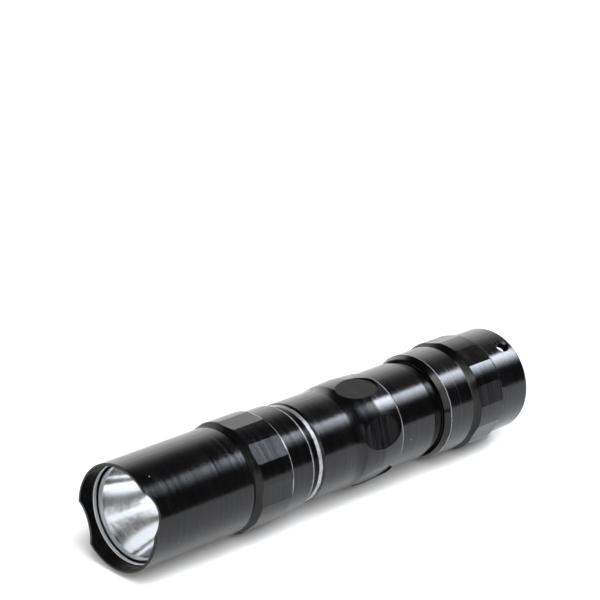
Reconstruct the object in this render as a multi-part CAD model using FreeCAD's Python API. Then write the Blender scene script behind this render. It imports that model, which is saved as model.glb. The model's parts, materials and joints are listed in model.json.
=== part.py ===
import FreeCAD, Part
import math
import os

from FreeCAD import Vector

# Pocket flashlight for one AA cell, lying on its side.
# Units are millimetres and +Z is up. The light's axis runs along Y with the bezel at -Y.
# "Station" means distance along the axis from the bezel's tips towards the tail.
# "Phase" means the angle about the axis from +Z towards +X, in degrees.

# Overall
LENGTH = 96.2
AXIS_HEIGHT = 10.35
MIDDLE = LENGTH / 2

# Flats milled on the grip lands of the head and the tail cap
FLAT_COUNT = 8
FLAT_HALF_ANGLE = 11.1
HEAD_LAND_R = 10.05
TAIL_LAND_R = 10.35
HEAD_FLAT_PHASE = 0.0
TAIL_FLAT_PHASE = 27.0

# Head
HEAD_R = 9.5
HEAD_REAR = 38.2
RIM_BORE_R = 8.98
NOTCH_PHASE = 64.0
NOTCH_DEPTH = 1.4
NOTCH_CUTTER_R = 5.7
LENS_FRONT = 2.7
LENS_THICKNESS = 1.5
GASKET_THICKNESS = 0.6
REFLECTOR_SEAT = 5.7
HEAD_BORE_R = 8.2

# Reflector: a parabola whose focus lies on the emitter
FOCAL_LENGTH = 1.03
VERTEX_STATION = 19.95
EMITTER_HOLE_R = 3.2

# Battery tube
TUBE_FRONT_R = 9.2
TUBE_REAR_R = 9.17
TUBE_BORE_R = 7.45
TUBE_START = 30.05
TUBE_END = 82.6
KNUCKLE_R = 9.75
KNUCKLE_CREST = 56.3
DIMPLE_COUNT = 6
DIMPLE_PHASE = 11.0
DIMPLE_STATION = 55.9
DIMPLE_HALF_LENGTH = 4.8
DIMPLE_HALF_WIDTH = 2.95
DIMPLE_FLOOR = 9.2

# Threads
THREAD_R = 8.45
THREAD_DEPTH = 0.3
THREAD_PITCH = 1.0
THREAD_LENGTH = 5.5
THREAD_BORE_R = 8.5
SEAL_LAND_R = 8.13
SEAL_BORE_R = 8.9
SEAL_CORD_R = 0.36

# Size AA cell
CELL_R = 7.25
CELL_TIP = 31.4
CELL_SHOULDER = 32.6
CELL_END = 81.9

# Tail cap
CAP_FRONT = 72.6
CAP_BARREL_R = 9.88
CAP_END_R = 9.72
SWITCH_BORE_R = 7.6
WEB_OPENING_R = 5.6
RECESS_R = 8.2
BOARD_STATION = 85.6
BOOT_TOP = 94.9
LANYARD_PHASE = 27.0
LANYARD_STATION = 93.6
LANYARD_R = 1.1

AXIS_POINT = Vector(0, 0, AXIS_HEIGHT)
AXIS = Vector(0, 1, 0)


def at(station, radius):
    """Point of a turned outline, in the plane x = 0 above the axis."""
    return Vector(0, station - MIDDLE, AXIS_HEIGHT + radius)


def outward(phase):
    """Unit vector pointing away from the axis at a phase."""
    angle = math.radians(phase)
    return Vector(math.sin(angle), 0, math.cos(angle))


def on_axis(station):
    return Vector(0, station - MIDDLE, AXIS_HEIGHT)


def turned(outline):
    """Solid of revolution. A nested pair ((middle), (end)) is an arc, anything else a corner."""
    edges = []
    here = at(*outline[0])
    for step in outline[1:]:
        if isinstance(step[0], tuple):
            end = at(*step[1])
            edges.append(Part.Arc(here, at(*step[0]), end).toShape())
        else:
            end = at(*step)
            edges.append(Part.makeLine(here, end))
        here = end
    edges.append(Part.makeLine(here, at(*outline[0])))
    face = Part.Face(Part.Wire(edges))
    return face.revolve(AXIS_POINT, AXIS, 360)


def ring(start, end, inner, outer):
    """Plain ring, or a disc when inner is zero."""
    return turned([(start, inner), (start, outer), (end, outer), (end, inner)])


def torus(station, radius, cord_radius):
    return Part.makeTorus(radius, cord_radius, on_axis(station), AXIS)


def rod(station, phase, near, far, radius):
    """Cylinder lying along a radius of the light, from near to far from the axis."""
    way = outward(phase)
    return Part.makeCylinder(radius, far - near, on_axis(station) + way * near, way)


def turned_about_axis(shape, phase):
    return shape.copy().rotated(AXIS_POINT, AXIS, phase)


def flats(start, end, land_radius, first_phase):
    """Blocks that mill evenly spaced flats into a land between two stations."""
    depth = land_radius * math.cos(math.radians(FLAT_HALF_ANGLE))
    corner = Vector(-5, start - MIDDLE, AXIS_HEIGHT + depth)
    block = Part.makeBox(10, end - start, 3, corner)
    phases = [first_phase + 360.0 * index / FLAT_COUNT for index in range(FLAT_COUNT)]
    return [turned_about_axis(block, phase) for phase in phases]


def dimples():
    """Cutters for the oval thumb dimples, each with a flat floor."""
    centre = on_axis(DIMPLE_STATION) + outward(0) * DIMPLE_FLOOR
    long_end = centre + AXIS * DIMPLE_HALF_LENGTH
    short_end = centre + Vector(DIMPLE_HALF_WIDTH, 0, 0)
    oval = Part.Ellipse(long_end, short_end, centre).toShape()
    plug = Part.Face(Part.Wire([oval])).extrude(outward(0) * 3)
    phases = [DIMPLE_PHASE + 360.0 * index / DIMPLE_COUNT for index in range(DIMPLE_COUNT)]
    return [turned_about_axis(plug, phase) for phase in phases]


def thread_groove():
    """Right-hand helical groove that starts just inside the tube's tail end."""
    proud = 0.1
    half_root = 0.06
    half_mouth = 0.38
    helix = Part.makeHelix(THREAD_PITCH, THREAD_LENGTH, THREAD_R)
    corners = [
        Vector(THREAD_R - THREAD_DEPTH, 0, -half_root),
        Vector(THREAD_R + proud, 0, -half_mouth),
        Vector(THREAD_R + proud, 0, half_mouth),
        Vector(THREAD_R - THREAD_DEPTH, 0, half_root),
    ]
    profile = Part.makePolygon(corners + corners[:1])
    groove = Part.Wire(helix.Edges).makePipeShell([profile], True, True)
    groove.rotate(Vector(0, 0, 0), Vector(0, 0, 1), 90)
    groove.rotate(Vector(0, 0, 0), Vector(1, 0, 0), 90)
    groove.translate(on_axis(TUBE_END - 0.3))
    return groove


def coil(start, end, radius, wire_radius, turns):
    """Compression spring along the axis, its wire's outside between two stations."""
    height = end - start - 2 * wire_radius
    helix = Part.makeHelix(height / turns, height, radius)
    circle = Part.makeCircle(wire_radius, Vector(radius, 0, 0), Vector(0, 1, 0))
    spring = Part.Wire(helix.Edges).makePipeShell([Part.Wire(circle)], True, True)
    spring.rotate(Vector(0, 0, 0), Vector(1, 0, 0), -90)
    spring.translate(on_axis(start + wire_radius))
    return spring


def reflector_radius(station):
    return math.sqrt(4 * FOCAL_LENGTH * (VERTEX_STATION - station))


def head_shell():
    shell = turned([
        (0, RIM_BORE_R),
        (0, HEAD_R - 0.1),
        (0.1, HEAD_R),
        (22.8, HEAD_R),
        (22.85, 9.15),
        ((23.3, 8.87), (23.75, 9.1)),
        (24.65, HEAD_LAND_R),
        (31.9, HEAD_LAND_R),
        (32.55, 9.54),
        (HEAD_REAR - 0.7, 9.54),
        (HEAD_REAR - 0.1, 9.25),
        (HEAD_REAR, 9.1),
        (HEAD_REAR, SEAL_BORE_R),
        (36.2, SEAL_BORE_R),
        (36.2, THREAD_BORE_R),
        (29.0, THREAD_BORE_R),
        (29.0, HEAD_BORE_R),
        (REFLECTOR_SEAT, HEAD_BORE_R),
        (REFLECTOR_SEAT, RIM_BORE_R),
    ])
    cutter_station = NOTCH_DEPTH - NOTCH_CUTTER_R
    notch = rod(cutter_station, NOTCH_PHASE, -12, 12, NOTCH_CUTTER_R)
    cuts = flats(23.0, 34.0, HEAD_LAND_R, HEAD_FLAT_PHASE)
    return shell.cut(cuts + [notch])


def lens():
    rear = LENS_FRONT + LENS_THICKNESS
    return turned([
        (LENS_FRONT, 0),
        (LENS_FRONT, 8.8),
        (LENS_FRONT + 0.13, 8.93),
        (rear - 0.1, 8.93),
        (rear, 8.83),
        (rear, 0),
    ])


def lens_gasket():
    front = LENS_FRONT + LENS_THICKNESS
    return ring(front, front + GASKET_THICKNESS, 8.25, 8.9)


def reflector():
    front = LENS_FRONT + LENS_THICKNESS + GASKET_THICKNESS
    bottom = VERTEX_STATION - EMITTER_HOLE_R ** 2 / (4 * FOCAL_LENGTH)
    steps = 8
    stations = [front + (bottom - front) * index / steps for index in range(steps + 1)]
    curve = Part.BSplineCurve()
    curve.interpolate([at(station, reflector_radius(station)) for station in stations])
    corners = [
        at(bottom, EMITTER_HOLE_R),
        at(18.9, EMITTER_HOLE_R),
        at(18.9, 4.6),
        at(REFLECTOR_SEAT, 8.15),
        at(REFLECTOR_SEAT, 8.9),
        at(front, 8.9),
        at(front, reflector_radius(front)),
    ]
    edges = [curve.toShape()]
    for first, second in zip(corners, corners[1:]):
        edges.append(Part.makeLine(first, second))
    face = Part.Face(Part.Wire(edges))
    return face.revolve(AXIS_POINT, AXIS, 360)


def led_insulator():
    return ring(18.9, 19.5, 3.6, 7.4)


def lead_rods(start, end, radius):
    """Two rods where the emitter's leads run, one above the axis and one below."""
    return [
        Part.makeCylinder(radius, end - start, on_axis(start) + outward(phase) * 5.4, AXIS)
        for phase in (0, 180)
    ]


def led_star_board():
    board = ring(19.5, 21.1, 0, 7.9)
    notches = [rod(20.3, 60 * index, 7.0, 9.0, 1.2) for index in range(6)]
    return board.cut(notches + lead_rods(19, 22, 0.7))


def led_package():
    base = Part.makeBox(4.2, 0.5, 4.2, Vector(-2.1, 19.0 - MIDDLE, AXIS_HEIGHT - 2.1))
    return base.fuse(ring(18.7, 19.1, 0, 2.0)).removeSplitter()


def led_dome():
    return turned([(18.7, 0), (18.7, 1.7), ((17.4, 1.3), (17.0, 0.3)), (17.0, 0)])


def heat_sink():
    body = turned([
        (21.1, 0),
        (21.1, 8.15),
        (29.05, 8.15),
        (29.05, 8.4),
        (30.0, 8.4),
        (30.0, 7.0),
        (28.2, 7.0),
        (28.2, 6.3),
        (24.0, 6.3),
        (24.0, 0),
    ])
    return body.cut(lead_rods(20, 25, 0.7))


def led_wires():
    """Two insulated leads from the driver board, through the heat sink, to the star board."""
    return Part.makeCompound(lead_rods(19.5, 28.2, 0.45))


def driver_board():
    return ring(28.2, 29.2, 0, 6.95)


def driver_chip():
    return Part.makeBox(4.0, 1.2, 5.0, Vector(-2.0, 27.0 - MIDDLE, AXIS_HEIGHT - 2.5))


def driver_capacitors():
    parts = [
        Part.makeBox(1.6, 0.9, 3.2, Vector(x, 27.3 - MIDDLE, AXIS_HEIGHT - 1.6)) for x in (-4.6, 3.0)
    ]
    return Part.makeCompound(parts)


def battery_tube():
    body = turned([
        (TUBE_START, TUBE_BORE_R),
        (TUBE_START, 7.9),
        (TUBE_START + 0.5, THREAD_R),
        (36.3, THREAD_R),
        (36.5, SEAL_LAND_R),
        (38.3, SEAL_LAND_R),
        (38.3, 8.78),
        (39.6, 8.78),
        (40.85, TUBE_FRONT_R),
        (49.2, TUBE_FRONT_R),
        ((50.3, 9.28), (51.5, 9.52)),
        ((53.9, 9.67), (KNUCKLE_CREST, KNUCKLE_R)),
        (60.9, 9.5),
        (61.5, TUBE_REAR_R),
        (70.0, TUBE_REAR_R),
        (70.65, 8.8),
        (72.5, 8.8),
        (72.5, SEAL_LAND_R),
        (74.4, SEAL_LAND_R),
        (74.6, THREAD_R),
        (TUBE_END - 0.5, THREAD_R),
        (TUBE_END, 7.9),
        (TUBE_END, TUBE_BORE_R),
    ])
    return body.cut(dimples()).cut(thread_groove())


def head_o_ring():
    return torus(37.6, SEAL_LAND_R + SEAL_CORD_R + 0.01, SEAL_CORD_R)


def tail_o_ring():
    return torus(73.2, SEAL_LAND_R + SEAL_CORD_R + 0.01, SEAL_CORD_R)


def battery_can():
    return turned([
        (CELL_SHOULDER, 0),
        (CELL_SHOULDER, 6.6),
        ((32.75, 6.95), (33.1, 7.1)),
        (81.3, 7.1),
        ((81.72, 6.92), (CELL_END, 6.5)),
        (CELL_END, 0),
    ])


def battery_label():
    return ring(33.1, 81.3, 7.1, CELL_R)


def battery_positive_cap():
    return turned([
        (CELL_TIP, 0),
        (CELL_TIP, 2.45),
        ((31.49, 2.66), (31.7, 2.75)),
        (32.4, 2.75),
        (32.4, 3.4),
        (CELL_SHOULDER, 3.4),
        (CELL_SHOULDER, 0),
    ])


def battery_top_washer():
    return ring(32.35, CELL_SHOULDER, 3.5, 6.5)


def positive_contact_spring():
    return coil(29.2, CELL_TIP - 0.02, 2.0, 0.22, 2.5)


def tail_cap_shell():
    shell = turned([
        (CAP_FRONT, SEAL_BORE_R),
        (CAP_FRONT, 9.3),
        (73.95, CAP_BARREL_R),
        (80.0, CAP_BARREL_R),
        (80.1, 9.45),
        ((80.5, 9.23), (80.9, 9.4)),
        (81.85, TAIL_LAND_R),
        (87.8, TAIL_LAND_R),
        (88.8, CAP_END_R),
        (LENGTH - 0.8, CAP_END_R),
        ((LENGTH - 0.23, CAP_END_R - 0.23), (LENGTH, CAP_END_R - 0.8)),
        (LENGTH, RECESS_R + 0.2),
        (LENGTH - 0.2, RECESS_R),
        (92.0, RECESS_R),
        (92.0, WEB_OPENING_R),
        (90.6, WEB_OPENING_R),
        (90.6, SWITCH_BORE_R),
        (BOARD_STATION, SWITCH_BORE_R),
        (BOARD_STATION, THREAD_BORE_R),
        (74.6, THREAD_BORE_R),
        (74.6, SEAL_BORE_R),
    ])
    hole = rod(LANYARD_STATION, LANYARD_PHASE, 6.5, 12, LANYARD_R)
    mouth = Part.makeCone(
        LANYARD_R,
        LANYARD_R + 0.7,
        0.7,
        on_axis(LANYARD_STATION) + outward(LANYARD_PHASE) * (CAP_END_R - 0.4),
        outward(LANYARD_PHASE),
    )
    cuts = flats(80.0, 90.0, TAIL_LAND_R, TAIL_FLAT_PHASE)
    return shell.cut(cuts + [hole, mouth])


def switch_boot():
    """Rubber dome with a flange that the carrier ring clamps against the web."""
    return turned([
        (89.6, 4.6),
        (89.6, 7.5),
        (90.6, 7.5),
        (90.6, 5.45),
        (93.4, 5.45),
        ((94.35, 4.7), (BOOT_TOP - 0.05, 3.0)),
        (BOOT_TOP, 0),
        (94.0, 0),
        (94.0, 3.2),
        ((93.6, 4.2), (92.8, 4.6)),
    ])


def switch_plunger():
    return turned([
        (87.9, 0),
        (87.9, 1.6),
        (88.5, 1.6),
        (88.5, 2.9),
        (88.88, 2.9),
        (88.88, 1.6),
        (93.75, 1.6),
        (93.95, 1.4),
        (93.95, 0),
    ])


def switch_return_spring():
    return coil(86.92, 88.48, 2.3, 0.2, 2)


def switch_housing():
    block = Part.makeBox(8, 89.4 - 86.4, 8, Vector(-4, 86.4 - MIDDLE, AXIS_HEIGHT - 4))
    upright = [edge for edge in block.Edges if abs(edge.tangentAt(0).dot(AXIS)) > 0.9]
    block = block.makeFillet(0.8, upright)
    cavity = ring(86.9, 88.9, 0, 3.1)
    stem_hole = ring(88.5, 89.8, 0, 1.65)
    return block.cut([cavity, stem_hole])


def switch_carrier():
    return ring(86.4, 89.6, 6.0, 7.55)


def switch_board():
    return ring(BOARD_STATION, 86.4, 0, 7.55)


def switch_contact_plate():
    return ring(BOARD_STATION - 0.3, BOARD_STATION, 0, 3.4)


def switch_retaining_ring():
    """Ring with two notches for a pin spanner."""
    body = ring(TUBE_END + 0.05, BOARD_STATION, 4.0, 8.44)
    slots = [
        Part.makeCylinder(0.8, 2, on_axis(TUBE_END - 1) + outward(phase) * 6.2, AXIS)
        for phase in (90, 270)
    ]
    return body.cut(slots)


def tail_spring():
    return coil(CELL_END + 0.02, BOARD_STATION - 0.32, 2.8, 0.35, 2.5)


PIECES = [
    head_shell,
    lens,
    lens_gasket,
    reflector,
    led_insulator,
    led_star_board,
    led_package,
    led_dome,
    heat_sink,
    led_wires,
    driver_board,
    driver_chip,
    driver_capacitors,
    positive_contact_spring,
    head_o_ring,
    battery_tube,
    tail_o_ring,
    battery_can,
    battery_label,
    battery_positive_cap,
    battery_top_washer,
    tail_cap_shell,
    switch_boot,
    switch_plunger,
    switch_return_spring,
    switch_housing,
    switch_carrier,
    switch_board,
    switch_contact_plate,
    switch_retaining_ring,
    tail_spring,
]

os.makedirs("parts", exist_ok=True)
for piece in PIECES:
    shape = piece()
    shape.exportStep("parts/" + piece.__name__ + ".step")
    print(piece.__name__, len(shape.Solids), shape.isValid(), round(shape.Volume, 2))
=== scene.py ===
import json

import bpy
from mathutils import Matrix, Vector

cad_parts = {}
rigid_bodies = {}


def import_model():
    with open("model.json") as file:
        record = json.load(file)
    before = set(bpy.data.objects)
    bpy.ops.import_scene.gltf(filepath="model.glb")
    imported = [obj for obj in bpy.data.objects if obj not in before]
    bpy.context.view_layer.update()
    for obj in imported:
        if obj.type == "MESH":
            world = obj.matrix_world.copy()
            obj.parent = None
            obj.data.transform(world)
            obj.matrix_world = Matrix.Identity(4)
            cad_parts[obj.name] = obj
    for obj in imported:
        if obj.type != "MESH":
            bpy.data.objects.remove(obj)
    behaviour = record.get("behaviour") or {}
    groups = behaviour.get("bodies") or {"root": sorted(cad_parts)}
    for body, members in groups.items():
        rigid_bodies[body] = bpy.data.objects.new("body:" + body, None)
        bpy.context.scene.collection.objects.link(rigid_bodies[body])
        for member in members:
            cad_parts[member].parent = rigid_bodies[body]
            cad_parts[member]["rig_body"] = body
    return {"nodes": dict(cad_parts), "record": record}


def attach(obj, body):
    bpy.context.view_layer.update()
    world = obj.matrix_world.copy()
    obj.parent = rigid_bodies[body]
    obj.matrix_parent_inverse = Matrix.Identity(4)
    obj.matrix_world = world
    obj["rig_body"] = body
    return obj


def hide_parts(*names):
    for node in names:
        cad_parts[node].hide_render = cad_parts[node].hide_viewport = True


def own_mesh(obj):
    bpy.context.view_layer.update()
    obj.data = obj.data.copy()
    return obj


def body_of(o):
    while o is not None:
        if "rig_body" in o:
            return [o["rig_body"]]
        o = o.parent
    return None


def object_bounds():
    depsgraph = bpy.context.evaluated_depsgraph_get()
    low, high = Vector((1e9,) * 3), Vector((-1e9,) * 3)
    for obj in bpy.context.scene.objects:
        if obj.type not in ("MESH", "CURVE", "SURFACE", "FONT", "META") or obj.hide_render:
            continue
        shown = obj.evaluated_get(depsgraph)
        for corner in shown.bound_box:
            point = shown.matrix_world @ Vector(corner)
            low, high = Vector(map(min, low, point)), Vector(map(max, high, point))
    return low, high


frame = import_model()
cad_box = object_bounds()
nodes = frame["nodes"]
scene = bpy.context.scene

LOW, HIGH = Vector(cad_box[0]), Vector(cad_box[1])
AXIS_Z = (LOW.z + HIGH.z) / 2


# ---------------------------------------------------------------- camera
def make_camera():
    """A long lens that looks down along the light from beyond its bezel."""
    data = bpy.data.cameras.new("camera")
    camera = bpy.data.objects.new("camera", data)
    scene.collection.objects.link(camera)
    data.sensor_width = 36
    data.lens = 161.94
    data.clip_start = 0.01
    data.clip_end = 20
    right = Vector((0.7236, 0.6868, 0.0684)).normalized()
    forward = Vector((-0.6219, 0.6918, -0.3669)).normalized()
    up = right.cross(forward).normalized()
    right = forward.cross(up).normalized()
    turn = Matrix((right, up, -forward)).transposed().to_4x4()
    camera.matrix_world = Matrix.Translation((0.28871, -0.32805, 0.20972)) @ turn
    scene.camera = camera


# ---------------------------------------------------------------- node materials
class Shader:
    """A small helper that adds linked nodes to one material."""

    def __init__(self, name):
        self.material = bpy.data.materials.new(name)
        self.material.use_nodes = True
        self.tree = self.material.node_tree
        self.bsdf = self.tree.nodes["Principled BSDF"]
        self.place = self.tree.nodes.new("ShaderNodeTexCoord").outputs["Object"]

    def node(self, kind, inputs=None, **settings):
        made = self.tree.nodes.new(kind)
        for key, value in settings.items():
            setattr(made, key, value)
        for key, value in (inputs or {}).items():
            self.feed(made.inputs[key], value)
        return made

    def feed(self, socket, value):
        if isinstance(value, bpy.types.NodeSocket):
            self.tree.links.new(value, socket)
        else:
            socket.default_value = value

    def set(self, **values):
        for key, value in values.items():
            self.feed(self.bsdf.inputs[key.replace("_", " ")], value)

    def math(self, operation, a, b=0.0, c=0.0):
        made = self.node("ShaderNodeMath", {0: a, 1: b, 2: c}, operation=operation)
        return made.outputs[0]

    def stretched(self, scale):
        made = self.node("ShaderNodeMapping", {"Vector": self.place, "Scale": scale})
        return made.outputs["Vector"]

    def noise(self, scale, detail, rough, vector=None):
        inputs = {
            "Vector": vector or self.place,
            "Scale": scale,
            "Detail": detail,
            "Roughness": rough,
        }
        return self.node("ShaderNodeTexNoise", inputs).outputs["Fac"]

    def ramp(self, value, low, high, out_low=0.0, out_high=1.0):
        made = self.node(
            "ShaderNodeMapRange",
            {
                "Value": value,
                "From Min": low,
                "From Max": high,
                "To Min": out_low,
                "To Max": out_high,
            },
            clamp=True,
        )
        return made.outputs["Result"]

    def mix(self, factor, a, b):
        made = self.node(
            "ShaderNodeMix",
            {"Factor": factor, 6: a, 7: b},
            data_type="RGBA",
        )
        return made.outputs[2]

    def bump(self, height, strength, distance, normal=None):
        made = self.node(
            "ShaderNodeBump",
            {"Height": height, "Strength": strength, "Distance": distance},
        )
        if normal:
            self.feed(made.inputs["Normal"], normal)
        return made.outputs["Normal"]

    def along(self):
        """Position along the light's axis, in metres."""
        made = self.node("ShaderNodeSeparateXYZ", {"Vector": self.place})
        return made.outputs["Y"]

    def radius(self):
        """Distance from the light's axis, in metres."""
        made = self.node("ShaderNodeSeparateXYZ", {"Vector": self.place})
        height = self.math("SUBTRACT", made.outputs["Z"], AXIS_Z)
        across = self.math("MULTIPLY", made.outputs["X"], made.outputs["X"])
        square = self.math("MULTIPLY_ADD", height, height, across)
        return self.math("SQRT", square)

    def band_mask(self, bands):
        """1 inside any of the bands along the axis, with a soft edge, and 0 elsewhere."""
        soft = 0.00006
        total = 0.0
        ragged = self.ramp(self.noise(700, 3, 0.6), 0.3, 0.7, -0.00005, 0.00005)
        y = self.math("ADD", self.along(), ragged)
        for start, end in bands:
            enter = self.ramp(y, start - soft, start + soft)
            leave = self.ramp(y, end - soft, end + soft, 1.0, 0.0)
            total = self.math("ADD", self.math("MULTIPLY", enter, leave), total)
        return total

    def turning_marks(self, pitch):
        """Fine rings left by the lathe: noise that changes only along the axis."""
        rings = self.stretched((40, 1 / pitch, 40))
        return self.noise(1.0, 3.0, 0.7, rings)


def black_anodised(bright_bands):
    """Glossy black anodising over turned aluminium.

    The bands are edges cut or worn back to bright metal, as (from, to) along the axis in metres.
    """
    s = Shader("black_anodised")
    fine = s.turning_marks(0.00018)
    streak = s.turning_marks(0.0004)
    cloud = s.noise(260, 4, 0.55)
    specks = s.node("ShaderNodeTexVoronoi", {"Vector": s.place, "Scale": 620.0})
    chosen = s.math("GREATER_THAN", s.noise(410, 0, 0.5), 0.735)
    dust = s.ramp(specks.outputs["Distance"], 0.045, 0.085, 1.0, 0.0)
    dust = s.math("MULTIPLY", dust, chosen)
    base = s.mix(cloud, (0.0008, 0.0007, 0.0009, 1), (0.0018, 0.0016, 0.0019, 1))
    base = s.mix(s.math("MULTIPLY", dust, 0.8), base, (0.45, 0.44, 0.42, 1))
    rough = s.ramp(streak, 0.35, 0.65, 0.08, 0.19)
    rough = s.math("ADD", rough, s.ramp(fine, 0.35, 0.7, 0.0, 0.08))
    rough = s.math("ADD", rough, s.ramp(cloud, 0.4, 0.8, 0.0, 0.05))
    bright = s.band_mask(bright_bands)
    bright = s.math("MULTIPLY", bright, s.ramp(s.noise(1500, 4, 0.7), 0.25, 0.6, 0.45, 0.95))
    base = s.mix(bright, base, (0.42, 0.42, 0.44, 1))
    rough = s.math("ADD", rough, s.math("MULTIPLY", bright, 0.22))
    normal = s.bump(fine, 0.25, 0.00002)
    normal = s.bump(streak, 0.25, 0.00003, normal)
    gloss = s.ramp(streak, 0.35, 0.65, 0.32, 0.42)
    gloss = s.math("ADD", gloss, s.ramp(fine, 0.35, 0.65, -0.03, 0.03))
    # Painted shade: reflectivity drops to a fifth wherever the surface lies within about 9.05 mm of
    # the axis, which darkens the bezel bore and other recessed faces.
    painted_shade_inside = s.ramp(s.radius(), 0.00903, 0.00908, 0.2, 1.0)
    tangent = s.node("ShaderNodeTangent", direction_type="RADIAL", axis="Y")
    s.set(Base_Color=base, Roughness=rough, Normal=normal, Metallic=s.math("MULTIPLY", bright, 0.85))
    s.set(IOR=1.45, Anisotropic=0.6, Anisotropic_Rotation=0.25, Tangent=tangent.outputs[0])
    s.set(Specular_IOR_Level=s.math("MULTIPLY", gloss, painted_shade_inside))
    return s.material


def clear_glass():
    """Clear disc with an opaque, rough white rim: a painted highlight standing for the bright ring on
    the lens edge.
    """
    s = Shader("clear_glass")
    smear = s.noise(260, 4, 0.6)
    # Painted highlight: beyond about 8.65 mm from the axis the disc turns white, opaque and rougher,
    # standing for the bright ring on the lens edge.
    edge = s.ramp(s.radius(), 0.00862, 0.0087)
    edge = s.math("MULTIPLY", edge, s.ramp(s.noise(1300, 3, 0.6), 0.2, 0.6, 0.75, 1.0))
    s.set(Base_Color=s.mix(edge, (0.97, 0.985, 1.0, 1), (0.95, 0.96, 0.97, 1)), IOR=1.49)
    s.set(Transmission_Weight=s.math("SUBTRACT", 1.0, edge))
    s.set(Roughness=s.math("MULTIPLY_ADD", edge, 0.4, s.ramp(smear, 0.4, 0.9, 0.0, 0.05)))
    s.set(Normal=s.bump(s.noise(700, 2, 0.5), 0.03, 0.00002))
    return s.material


def clear_silicone():
    """Milky, slightly see-through silicone."""
    s = Shader("clear_silicone")
    haze = s.noise(900, 3, 0.6)
    s.set(Base_Color=s.mix(haze, (0.80, 0.84, 0.86, 1), (0.94, 0.96, 0.97, 1)))
    s.set(Roughness=s.ramp(haze, 0.3, 0.8, 0.25, 0.4), IOR=1.41)
    s.set(Transmission_Weight=0.15, Normal=s.bump(haze, 0.1, 0.00003))
    return s.material


def metallised():
    """Mirror coating with a faint ripple and fine rings."""
    s = Shader("metallised")
    ripple = s.noise(170, 2, 0.5)
    fine = s.turning_marks(0.00035)
    s.set(Base_Color=s.mix(ripple, (0.88, 0.89, 0.91, 1), (0.95, 0.95, 0.96, 1)))
    s.set(Metallic=1.0, Roughness=s.ramp(fine, 0.3, 0.8, 0.06, 0.15))
    s.set(Normal=s.bump(fine, 0.10, 0.00002, s.bump(ripple, 0.04, 0.00008)))
    return s.material


def plain(name, dark, light, rough, grain, bump, metallic):
    """Moulded or plated finish: two close tones, clouded roughness and a fine grain."""
    s = Shader(name)
    cloud = s.noise(grain / 4, 4, 0.6)
    fine = s.noise(grain, 3, 0.6)
    s.set(Base_Color=s.mix(cloud, (*dark, 1), (*light, 1)), Metallic=metallic, IOR=1.5)
    s.set(Roughness=s.ramp(cloud, 0.3, 0.8, rough * 0.75, rough * 1.25))
    s.set(Normal=s.bump(fine, bump, 0.00003))
    return s.material


def turned_metal(name, dark, light, rough, pitch):
    """Bare turned metal with rings along the axis."""
    s = Shader(name)
    marks = s.turning_marks(pitch)
    stain = s.noise(500, 4, 0.6)
    s.set(Base_Color=s.mix(stain, (*dark, 1), (*light, 1)), Metallic=1.0)
    s.set(Roughness=s.ramp(marks, 0.3, 0.8, rough * 0.7, rough * 1.4))
    s.set(Normal=s.bump(marks, 0.25, 0.00003))
    return s.material


def bands(*stations):
    """Bands given as distances in millimetres behind the bezel, as places along the axis."""
    return [(LOW.y + start / 1000, LOW.y + end / 1000) for start, end in stations]


ANODISED = {
    "head_shell": black_anodised(bands((31.95, 32.35), (37.45, 37.65))),
    "battery_tube": black_anodised(bands((39.7, 40.3), (60.98, 61.25))),
    "tail_cap_shell": black_anodised(bands((73.88, 73.97))),
}
# slot: darker tone, lighter tone, roughness, grain, bump, metallic
PLAIN_FINISHES = {
    "white_plastic": ((0.78, 0.78, 0.76), (0.88, 0.88, 0.86), 0.35, 3000, 0.1, 0.0),
    "board_white": ((0.75, 0.76, 0.74), (0.86, 0.87, 0.85), 0.45, 5000, 0.1, 0.0),
    "ceramic_white": ((0.70, 0.72, 0.66), (0.84, 0.85, 0.78), 0.4, 5000, 0.1, 0.0),
    "wire_red": ((0.55, 0.03, 0.02), (0.68, 0.05, 0.03), 0.4, 3000, 0.1, 0.0),
    "board_green": ((0.01, 0.10, 0.04), (0.02, 0.16, 0.06), 0.35, 4000, 0.1, 0.0),
    "chip_black": ((0.012, 0.012, 0.013), (0.03, 0.03, 0.032), 0.5, 9000, 0.1, 0.0),
    "capacitor_tan": ((0.42, 0.29, 0.16), (0.52, 0.37, 0.22), 0.45, 7000, 0.1, 0.0),
    "plated_spring": ((0.62, 0.60, 0.55), (0.78, 0.76, 0.70), 0.22, 4000, 0.1, 1.0),
    "black_rubber": ((0.012, 0.012, 0.012), (0.03, 0.03, 0.03), 0.55, 5000, 0.3, 0.0),
    "boot_rubber": ((0.010, 0.010, 0.010), (0.024, 0.024, 0.025), 0.6, 5200, 0.4, 0.0),
    "cell_sleeve": ((0.03, 0.16, 0.05), (0.05, 0.22, 0.07), 0.3, 1500, 0.05, 0.0),
    "black_plastic": ((0.014, 0.014, 0.015), (0.03, 0.03, 0.032), 0.4, 6000, 0.2, 0.0),
}
# slot: darker tone, lighter tone, roughness, pitch of the turning marks in metres
TURNED_FINISHES = {
    "bare_aluminium": ((0.70, 0.71, 0.72), (0.82, 0.82, 0.83), 0.22, 0.0002),
    "cell_steel": ((0.62, 0.61, 0.59), (0.76, 0.75, 0.73), 0.2, 0.0003),
    "brass": ((0.66, 0.48, 0.20), (0.80, 0.62, 0.30), 0.25, 0.0002),
}
MATERIALS = {
    "clear_glass": clear_glass(),
    "clear_silicone": clear_silicone(),
    "metallised": metallised(),
}
for slot_name, values in PLAIN_FINISHES.items():
    MATERIALS[slot_name] = plain(slot_name, *values)
for slot_name, values in TURNED_FINISHES.items():
    MATERIALS[slot_name] = turned_metal(slot_name, *values)


def finish_nodes():
    """Puts each node's material in all of its material slots."""
    for part in frame["record"]["subparts"]:
        mesh = nodes[part["node"]].data
        material = ANODISED.get(part["node"]) or MATERIALS[part["material_slot"]]
        if not mesh.materials:
            mesh.materials.append(material)
        for index in range(len(mesh.materials)):
            mesh.materials[index] = material


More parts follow.
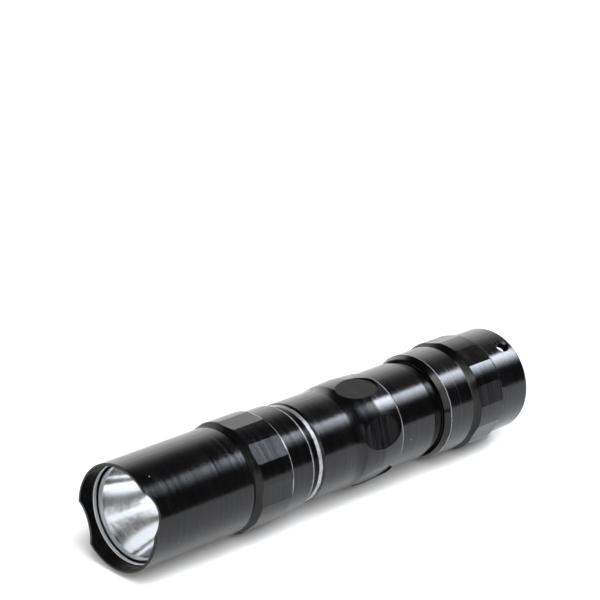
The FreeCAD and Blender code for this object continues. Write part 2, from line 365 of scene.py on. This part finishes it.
def soften_nodes():
    """Copies of the parts that flatten as the switch is pressed, standing for their rigid nodes."""
    for joint in frame["record"]["behaviour"]["joints"]:
        for soft in joint.get("deforming_nodes", []):
            node = nodes[soft["node"]]
            piece = bpy.data.objects.new(node.name + "_soft", node.data.copy())
            scene.collection.objects.link(piece)
            piece.matrix_world = node.matrix_world
            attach(piece, body_of(node)[0])
            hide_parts(node.name)
            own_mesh(piece)


# ---------------------------------------------------------------- floor and light
def make_floor():
    mesh = bpy.data.meshes.new("floor")
    size = 4.0
    corners = [(-size, -size, 0), (size, -size, 0), (size, size, 0), (-size, size, 0)]
    mesh.from_pydata(corners, [], [(0, 1, 2, 3)])
    floor = bpy.data.objects.new("floor", mesh)
    scene.collection.objects.link(floor)
    s = Shader("pale_floor")
    paper = s.noise(900, 4, 0.6)
    s.set(Base_Color=s.mix(paper, (0.93, 0.93, 0.93, 1), (0.95, 0.95, 0.95, 1)))
    s.set(Roughness=0.6, Specular_IOR_Level=0.2, Normal=s.bump(paper, 0.02, 0.0001))
    mesh.materials.append(s.material)


def softbox(name, centre, target, size, power):
    data = bpy.data.lights.new(name, "AREA")
    data.shape = "RECTANGLE"
    data.size, data.size_y = size
    data.energy = power
    light = bpy.data.objects.new(name, data)
    scene.collection.objects.link(light)
    light.location = centre
    aim = Vector(target) - Vector(centre)
    light.rotation_euler = aim.to_track_quat("-Z", "Y").to_euler()


def make_strip():
    """A strip softbox overhead, beyond the tail.

    It is bright at its far end, and has one crisp edge and one that fades.
    """
    mesh = bpy.data.meshes.new("strip_panel")
    height = 0.6
    left, right = 0.05, 0.80
    near, far = 0.42, 1.10
    corners = [(left, near, height), (right, near, height), (right, far, height), (left, far, height)]
    mesh.from_pydata(corners, [], [(0, 3, 2, 1)])
    panel = bpy.data.objects.new("strip_panel", mesh)
    scene.collection.objects.link(panel)
    s = Shader("strip_glow")
    split = s.node("ShaderNodeSeparateXYZ", {"Vector": s.place}).outputs
    slanted = s.math("MULTIPLY_ADD", split["Y"], 0.45, split["X"])
    enter = s.ramp(slanted, 0.435, 0.49)
    widening = s.math("MULTIPLY_ADD", split["Y"], -0.35, split["X"])
    leave = s.ramp(widening, -0.02, 0.42, 1.0, 0.0)
    leave = s.math("POWER", leave, 3.4)
    reach = s.ramp(split["Y"], 0.535, 0.72, 0.03, 1.0)
    power = s.math("MULTIPLY", s.math("MULTIPLY", enter, leave), s.math("MULTIPLY", reach, 34.0))
    s.set(Base_Color=(0, 0, 0, 1), Specular_IOR_Level=0.0)
    s.set(Emission_Color=(0.84, 0.90, 1.0, 1), Emission_Strength=power)
    mesh.materials.append(s.material)


def make_world():
    """White backdrops low on the left and low in front, and a dark room above and on the right."""
    world = bpy.data.worlds.new("studio")
    scene.world = world
    world.use_nodes = True
    tree = world.node_tree
    back = tree.nodes["Background"]
    back.inputs["Color"].default_value = (1, 1, 1, 1)
    place = tree.nodes.new("ShaderNodeTexCoord")
    split = tree.nodes.new("ShaderNodeSeparateXYZ")
    tree.links.new(place.outputs["Generated"], split.inputs[0])

    def span(socket, low, high, out_low, out_high):
        made = tree.nodes.new("ShaderNodeMapRange")
        made.interpolation_type = "SMOOTHSTEP"
        made.inputs["From Min"].default_value = low
        made.inputs["From Max"].default_value = high
        made.inputs["To Min"].default_value = out_low
        made.inputs["To Max"].default_value = out_high
        tree.links.new(socket, made.inputs["Value"])
        return made.outputs["Result"]

    def product(a, b):
        made = tree.nodes.new("ShaderNodeMath")
        made.operation = "MULTIPLY"
        tree.links.new(a, made.inputs[0])
        tree.links.new(b, made.inputs[1])
        return made.outputs[0]

    low_part = span(split.outputs["Z"], 0.42, 0.70, 1.9, 0.012)
    left_part = span(split.outputs["X"], -0.15, 0.35, 1.0, 0.02)
    front_part = product(
        span(split.outputs["Y"], -0.55, -0.1, 1.3, 0.0),
        span(split.outputs["Z"], 0.12, 0.34, 1.0, 0.0),
    )
    whole = tree.nodes.new("ShaderNodeMath")
    whole.operation = "MAXIMUM"
    tree.links.new(product(low_part, left_part), whole.inputs[0])
    tree.links.new(front_part, whole.inputs[1])
    tree.links.new(whole.outputs[0], back.inputs["Strength"])


def make_lights():
    make_world()
    make_strip()
    softbox("key_box", (0.60, -0.35, 1.0), (0, 0, 0), (0.85, 1.1), 20)
    softbox("side_box", (0.95, -0.05, 0.38), (0, 0, 0.02), (0.8, 0.55), 2.5)


make_camera()
finish_nodes()
soften_nodes()
make_floor()
make_lights()
scene.view_settings.view_transform = "Standard"
